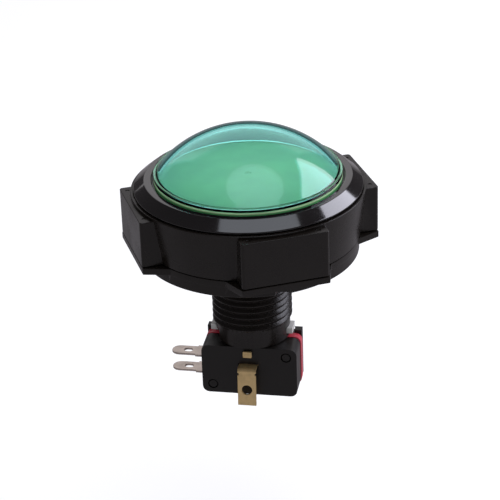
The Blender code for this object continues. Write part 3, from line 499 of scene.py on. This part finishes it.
# %% Dome lens
low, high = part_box("dome_lens")
rim, lens_under, dome_top = high.x, low.z, high.z
rim_top = lens_under + RIM_HEIGHT
edge_radius = rim - SHOULDER
rise = dome_top - rim_top
ball = (edge_radius ** 2 + rise ** 2) / (2 * rise)
ball_centre = dome_top - ball
inner_ball = ball - LENS_WALL
outer_angle = math.asin(edge_radius / ball)
inner_angle = math.acos((lens_under - ball_centre) / inner_ball)
outside = arc(ball_centre, ball, 0, outer_angle, 28)
inside = arc(ball_centre, inner_ball, inner_angle, 0, 24)
lens = turned("dome", outside + [(rim, rim_top), (rim, lens_under)] + inside, steps=160)
soften(lens, 0.15 * MM, angle=25, smooth=25)
fit(lens, "dome_lens")

# %% [markdown]
# The diffuser is a flat green disc that spreads the lamp's light. A fine groove near its edge and a
# small dot where the plastic went in to the mould are all that marks it.

# %% Diffuser
low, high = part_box("diffuser_plate")
disc_under, disc_top, disc_radius = low.z, high.z, high.x
groove_out, groove_in, groove_depth = 25.3 * MM, 24.9 * MM, 0.2 * MM
gate = 0.8 * MM
diffuser = turned("diffuser", [
    (0, disc_top - groove_depth), (gate, disc_top - groove_depth), (gate + groove_depth, disc_top),
    (groove_in - groove_depth, disc_top), (groove_in, disc_top - groove_depth),
    (groove_out, disc_top - groove_depth), (groove_out + groove_depth, disc_top),
    (disc_radius, disc_top), (disc_radius, disc_under), (0, disc_under)])
soften(diffuser, 0.08 * MM, angle=25)
fit(diffuser, "diffuser_plate")

# %% [markdown]
# The housing is a tapered drum with four lugs. Each lug starts as a box whose upright corners are
# rounded. The drum and the lugs are joined, and then the stepped bore is cut through them all.

# %% Housing
low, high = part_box("housing_ring")
lug_flat, housing_foot, housing_top = high.x, low.z, high.z
TOP_RADIUS = 34.0 * MM
FOOT_RADIUS = 32.2 * MM
POCKET = 31.4 * MM
HOUSING_BORE = 30.3 * MM
LEDGE = 13.0 * MM
LUG_HALF = 12.66 * MM
LUG_TOP = housing_top - 0.8 * MM
MARK_RADIUS = 1.35 * MM
MARK_DEPTH = 0.15 * MM
LUG_INNER = 26 * MM
LUG_CORNER = 0.9 * MM
SCREW_AT = 32.4 * MM
PILOT_RADIUS = 1.5 * MM
PILOT_LENGTH = 16.8 * MM
PILOT_MIDDLE = 5.0 * MM

housing = turned("housing", [(0, housing_top), (TOP_RADIUS, housing_top), (FOOT_RADIUS, housing_foot),
                             (0, housing_foot)], steps=160)
soften(housing, 0.2 * MM, angle=25)


def make_lug(number):
    """One lug with its two ejector marks, turned to its side of the drum."""
    lug = box(f"lug_{number}", (LUG_INNER, -LUG_HALF, housing_foot), (lug_flat, LUG_HALF, LUG_TOP))
    outer = lug_flat - FINE
    select_edges(lug, lambda a, b: a.x > outer and b.x > outer and abs(a.z - b.z) > MM)
    bpy.ops.mesh.bevel(offset=LUG_CORNER, segments=5)
    bpy.ops.object.mode_set(mode="OBJECT")
    soften(lug, 0.2 * MM, angle=50)
    for side in (-1, 1):
        spot = ((lug_flat + TOP_RADIUS) / 2 - 1.2 * MM, side * (LUG_HALF - 2.6 * MM), LUG_TOP)
        bpy.ops.mesh.primitive_cylinder_add(vertices=32, radius=MARK_RADIUS / 2, depth=2 * MARK_DEPTH,
                                            location=spot)
        mark = bpy.context.object
        place_in_mesh(mark)
        boolean(lug, mark)
    place(lug, turn=number * math.pi / 2)
    return lug


for number in range(4):
    boolean(housing, make_lug(number), "UNION")
over = housing_top + MM
core = turned("core", [(0, over), (POCKET, over), (POCKET, LEDGE), (HOUSING_BORE, LEDGE),
                       (HOUSING_BORE, housing_foot - MM), (0, housing_foot - MM)])
boolean(housing, core)
for number in range(4):
    angle = number * math.pi / 2
    bpy.ops.mesh.primitive_cylinder_add(vertices=24, radius=PILOT_RADIUS, depth=PILOT_LENGTH,
                                        location=(SCREW_AT * math.cos(angle), SCREW_AT * math.sin(angle),
                                                  PILOT_MIDDLE))
    pilot = bpy.context.object
    place_in_mesh(pilot)
    boolean(housing, pilot)
soften(housing, 0)
fit(housing, "housing_ring")

# %% [markdown]
# The base carries the threaded neck. It is turned first, then the layer with the four tabs is added.
# The thread is one ridge that winds down the neck. The bore gets two key grooves, and the neck's end
# gets two L-shaped slots in which the lamp holder's ears lock. A spin runs clockwise seen from above,
# so each slot is turned to its far end and swept back.

# %% Base
low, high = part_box("base_body")
neck_foot, lip_top = low.z, high.z
PARTING = 5.1 * MM
TAB_UNDER = 3.1 * MM
BASE_RADIUS = 32.0 * MM
LIP_OUTER = 30.0 * MM
LIP_INNER = 29.4 * MM
FLOOR = 1.8 * MM
COLLAR_TOP = 3.0 * MM
COLLAR = 11.0 * MM
NECK_RADIUS = 11.9 * MM
THREAD_ROOT = NECK_RADIUS - THREAD_DEPTH
NECK_BORE = 9.6 * MM
FLARE = math.radians(29)
RELIEF = 12.3 * MM
RELIEF_DEPTH = 0.3 * MM
FLANGE_RADIUS = 31.85 * MM
FOOT_BEVEL = 0.4 * MM
EAR_HALF_WIDTH = 2.4 * MM
SLOT_UP = 0.7 * MM
SLOT_HEIGHT = 2.4 * MM
OVERCUT = 0.4 * MM
WELL_RADIUS = 2.4 * MM
WELL_TOP = 4.2 * MM

base = turned("base", [
    (LIP_INNER, lip_top), (LIP_OUTER, lip_top), (LIP_OUTER, PARTING - MM),
    (FLANGE_RADIUS, PARTING - MM), (FLANGE_RADIUS, 0), (RELIEF, 0), (RELIEF, RELIEF_DEPTH),
    (THREAD_ROOT, RELIEF_DEPTH), (THREAD_ROOT, neck_foot),
    (NECK_BORE, neck_foot), (NECK_BORE, COLLAR_TOP), (COLLAR, COLLAR_TOP), (COLLAR, FLOOR),
    (LIP_INNER, FLOOR)], steps=160)


def at_foot(point):
    """True for a point on the outer lower edge."""
    return abs(point.z) < FINE and math.hypot(point.x, point.y) > 31 * MM


select_edges(base, lambda a, b: at_foot(a) and at_foot(b))
bpy.ops.mesh.bevel(offset=FOOT_BEVEL, segments=4)
bpy.ops.object.mode_set(mode="OBJECT")
soften(base, 0.15 * MM, segments=2, angle=40)

TAB_BORE = LIP_INNER + 0.3 * MM
ARC_STEPS = 12
lug_corner = Vector((lug_flat, LUG_HALF))
plan = []
for number in range(4):
    middle = number * math.pi / 2
    half = math.atan2(lug_corner.y, lug_corner.x)
    for angle in (middle - half, middle + half):
        plan.append((lug_corner.length * math.cos(angle), lug_corner.length * math.sin(angle)))
    for step in range(ARC_STEPS + 1):
        angle = middle + FLARE + (math.pi / 2 - 2 * FLARE) * step / ARC_STEPS
        plan.append((BASE_RADIUS * math.cos(angle), BASE_RADIUS * math.sin(angle)))
tabs = slab("tabs", plan, TAB_UNDER, PARTING)
soften(tabs, 0.2 * MM, segments=2, angle=25)
hole = turned("tab_hole", [(0, PARTING + MM), (TAB_BORE, PARTING + MM), (TAB_BORE, TAB_UNDER - MM),
                           (0, TAB_UNDER - MM)], steps=120)
boolean(tabs, hole)
boolean(base, tabs, "UNION")


def make_thread():
    """A ridge with a pointed section, wound down the neck by a screw modifier."""
    turns = int(THREAD_LENGTH / PITCH)
    inner = THREAD_ROOT - 0.3 * MM
    half = PITCH * 0.47
    crest = 0.15 * MM
    start = -half - turns * PITCH - 0.2 * MM
    section = [(inner, -half), (THREAD_ROOT, -half), (NECK_RADIUS, -crest), (NECK_RADIUS, crest),
               (THREAD_ROOT, half), (inner, half)]
    ridge = draw("thread", upright([(radius, start + height) for radius, height in section]))
    bpy.ops.object.mode_set(mode="OBJECT")
    modify(ridge, "SCREW", steps=48, render_steps=48, screw_offset=PITCH, iterations=turns,
           use_normal_calculate=True)
    only(ridge)
    bpy.ops.object.mode_set(mode="EDIT")
    bpy.ops.mesh.select_all(action="SELECT")
    bpy.ops.mesh.remove_doubles(threshold=FINE)
    bpy.ops.mesh.fill_holes(sides=0)
    bpy.ops.mesh.normals_make_consistent(inside=False)
    bpy.ops.object.mode_set(mode="OBJECT")
    return ridge


boolean(base, make_thread(), "UNION")
keyways = box("keyways", (-10.4 * MM, -1.5 * MM, -17.4 * MM), (10.4 * MM, 1.5 * MM, 3.3 * MM))
boolean(base, keyways)
ear_half = math.asin(EAR_HALF_WIDTH / NECK_BORE) + math.radians(3)
slot_foot = neck_foot + SLOT_UP
slot_top = slot_foot + SLOT_HEIGHT
for side in (0, math.pi):
    ring = [(NECK_BORE - OVERCUT, slot_top), (NECK_RADIUS + OVERCUT, slot_top),
            (NECK_RADIUS + OVERCUT, slot_foot), (NECK_BORE - OVERCUT, slot_foot)]
    far_end = HOLDER_TURN + side + ear_half + TWIST
    slot = turned("slot", ring, 24, far_end, 2 * ear_half + TWIST)
    boolean(base, slot)
    ring = ring[:2] + [(radius, neck_foot - OVERCUT) for radius, height in ring[2:]]
    entry = turned("entry", ring, 24, far_end, 2 * ear_half)
    boolean(base, entry)
for number in range(4):
    angle = number * math.pi / 2
    well = turned("screw_well", [(0, 6 * MM), (PILOT_RADIUS, 6 * MM), (PILOT_RADIUS, WELL_TOP),
                                 (WELL_RADIUS, WELL_TOP), (WELL_RADIUS, -0.3 * MM), (0, -0.3 * MM)], 32)
    place(well, shift=(SCREW_AT * math.cos(angle), SCREW_AT * math.sin(angle), 0))
    boolean(base, well)
soften(base, 0)
fit(base, "base_body")

# %% [markdown]
# The smaller pieces keep the exact outline of the frame. Each is copied, its flat faces are made
# whole again, and its sharp edges are rounded, because a stamped or moulded edge is never knife-sharp.

# %% Small pieces
def eased(node):
    """A free copy of a CAD node with its flat faces made whole."""
    piece = twin(frame["nodes"][node], node + "_eased")
    bpy.ops.object.parent_clear(type="CLEAR_KEEP_TRANSFORM")
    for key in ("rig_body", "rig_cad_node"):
        if key in piece:
            del piece[key]
    tidy_mesh(piece)
    bpy.ops.object.mode_set(mode="EDIT")
    bpy.ops.mesh.select_all(action="SELECT")
    bpy.ops.mesh.dissolve_limited(angle_limit=math.radians(1))
    bpy.ops.object.mode_set(mode="OBJECT")
    return piece


EASED = {"microswitch_case": 0.22, "microswitch_cover": 0.22, "switch_holder": 0.2, "nc_terminal": 0.1,
         "no_terminal": 0.1, "com_terminal": 0.1, "com_rivet": 0.25, "base_screw_1": 0.15,
         "base_screw_2": 0.15, "base_screw_3": 0.15, "base_screw_4": 0.15, "lamp_socket": 0.12,
         "microswitch_plunger": 0.1, "slider": 0.12}
for node, width in EASED.items():
    piece = eased(node)
    soften(piece, width * MM, segments=2, angle=40)
    fit(piece, node)

# %% [markdown]
# The return spring is a coil of round wire. Its copy is smoothed.

# %% Spring
low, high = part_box("return_spring")
TRAVEL = next(joint for joint in frame["joints"] if joint["name"] == "button_press")["range_m"][1]
spring = eased("return_spring")
modify(spring, "SUBSURF", levels=1)
only(spring)
bpy.ops.object.shade_smooth()
fit(spring, "return_spring")
length = high.z - low.z
(length - TRAVEL) / length
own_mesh(spring)

# %% [markdown]
# The bulb is a thin glass shell, turned from two arcs.

# %% Bulb
low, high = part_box("lamp_bulb")
bulb_radius = high.x
wall = 0.6 * MM
bulb_centre = high.z - bulb_radius
outside = arc(bulb_centre, bulb_radius, 0, math.pi / 2, 12)
inside = arc(bulb_centre, bulb_radius - wall, math.pi / 2, 0, 12)
bulb = turned("bulb", outside + [(bulb_radius, low.z), (bulb_radius - wall, low.z)] + inside, 64)
soften(bulb, 0)
fit(bulb, "lamp_bulb")

# %% [markdown]
# A pale floor, a white surround, soft boxes and the camera. The main box stands to the right and
# behind, where it shines back from the dome and from the ring's cone.

# %% Stage
FLOOR_Z = CAD_BOX[0][2] - 60 * MM
CAMERA_AZIMUTH = math.radians(-15.87)
CAMERA_ELEVATION = math.radians(26.609)
CAMERA_ROLL = math.radians(-1.896)
CAMERA_DISTANCE = 530.6 * MM
LENS_LENGTH = 130.33
SENSOR_WIDTH = 36
AIM = Vector((-0.135 * MM, 0.038 * MM, -1.05 * MM))

FLOOR_IN_GLOSS = (0.34, 0.32, 0.32)
FLOOR_LIFT = (0.32, 0.32, 0.30)
WORLD_LIGHT = (0.40, 0.40, 0.42)
WORLD_IN_GLOSS = (0.06, 0.055, 0.06)

bpy.ops.mesh.primitive_plane_add(size=6, location=(0, 0, FLOOR_Z))
floor = bpy.context.object
floor.name = "floor"
floor_graph = Graph("floor_white", roughness=0.9, specular_ior_level=0.0)
glossy_ray = floor_graph.node("ShaderNodeLightPath", output="Is Glossy Ray")
floor_graph.set("Base Color", floor_graph.blend(glossy_ray, (0.86, 0.86, 0.86), FLOOR_IN_GLOSS))
camera_ray = floor_graph.node("ShaderNodeLightPath", output="Is Camera Ray")
floor_graph.set("Emission Color", floor_graph.blend(camera_ray, (0.0, 0.0, 0.0), FLOOR_LIFT))
floor_graph.set("Emission Strength", 1.0)
floor.data.materials.append(floor_graph.material)

world = bpy.data.worlds.new("studio")
bpy.context.scene.world = world
world.use_nodes = True
nodes, links = world.node_tree.nodes, world.node_tree.links
path = nodes.new("ShaderNodeLightPath")
seen = nodes.new("ShaderNodeMix")
seen.data_type = "RGBA"
seen.inputs[6].default_value = (*WORLD_LIGHT, 1)
seen.inputs[7].default_value = (*WORLD_IN_GLOSS, 1)
links.new(path.outputs["Is Glossy Ray"], seen.inputs[0])
backdrop = nodes.new("ShaderNodeMix")
backdrop.data_type = "RGBA"
backdrop.inputs[7].default_value = (1, 1, 1, 1)
clear_view = nodes.new("ShaderNodeMath")
clear_view.operation = "MAXIMUM"
links.new(path.outputs["Is Camera Ray"], clear_view.inputs[0])
links.new(path.outputs["Is Transmission Ray"], clear_view.inputs[1])
links.new(clear_view.outputs[0], backdrop.inputs[0])
links.new(seen.outputs[2], backdrop.inputs[6])
links.new(backdrop.outputs[2], nodes["Background"].inputs["Color"])


def soft_box(name, azimuth, elevation, distance, size, glow, colour, shape="RECTANGLE"):
    """A lamp that faces the button from one direction, with an even glow over its face."""
    turn, rise = math.radians(azimuth), math.radians(elevation)
    towards = Vector((math.sin(turn) * math.cos(rise), -math.cos(turn) * math.cos(rise), math.sin(rise)))
    bpy.ops.object.light_add(type="AREA", location=towards * distance)
    lamp = bpy.context.object
    lamp.name = lamp.data.name = name
    lamp.data.shape = shape
    lamp.data.size, lamp.data.size_y = size
    lamp.data.color = colour
    area = size[0] * size[1] * (math.pi / 4 if shape == "DISK" else 1)
    lamp.data.energy = glow * math.pi * area
    lamp.rotation_euler = towards.to_track_quat("Z", "Y").to_euler()


soft_box("side_box", 90, 30, 0.9, (0.76, 0.57), 4.4, (0.88, 0.88, 1.0))
soft_box("top_dish", 10, 77.5, 1.0, (0.88, 0.88), 1.25, (0.85, 0.90, 1.0), "DISK")
soft_box("back_sheet", 166, 27, 1.3, (1.6, 0.8), 0.55, (1.0, 0.97, 1.0))

bpy.ops.object.camera_add()
camera = bpy.context.object
camera.data.lens = LENS_LENGTH
camera.data.sensor_width = SENSOR_WIDTH
facing = Vector((-math.sin(CAMERA_AZIMUTH) * math.cos(CAMERA_ELEVATION),
                 math.cos(CAMERA_AZIMUTH) * math.cos(CAMERA_ELEVATION), -math.sin(CAMERA_ELEVATION)))
camera.location = AIM - facing * CAMERA_DISTANCE
rotation = facing.to_track_quat("-Z", "Y")
camera.rotation_mode = "QUATERNION"
camera.rotation_quaternion = rotation @ Quaternion((0, 0, 1), CAMERA_ROLL)
bpy.context.scene.camera = camera
bpy.context.scene.view_settings.view_transform = "Standard"
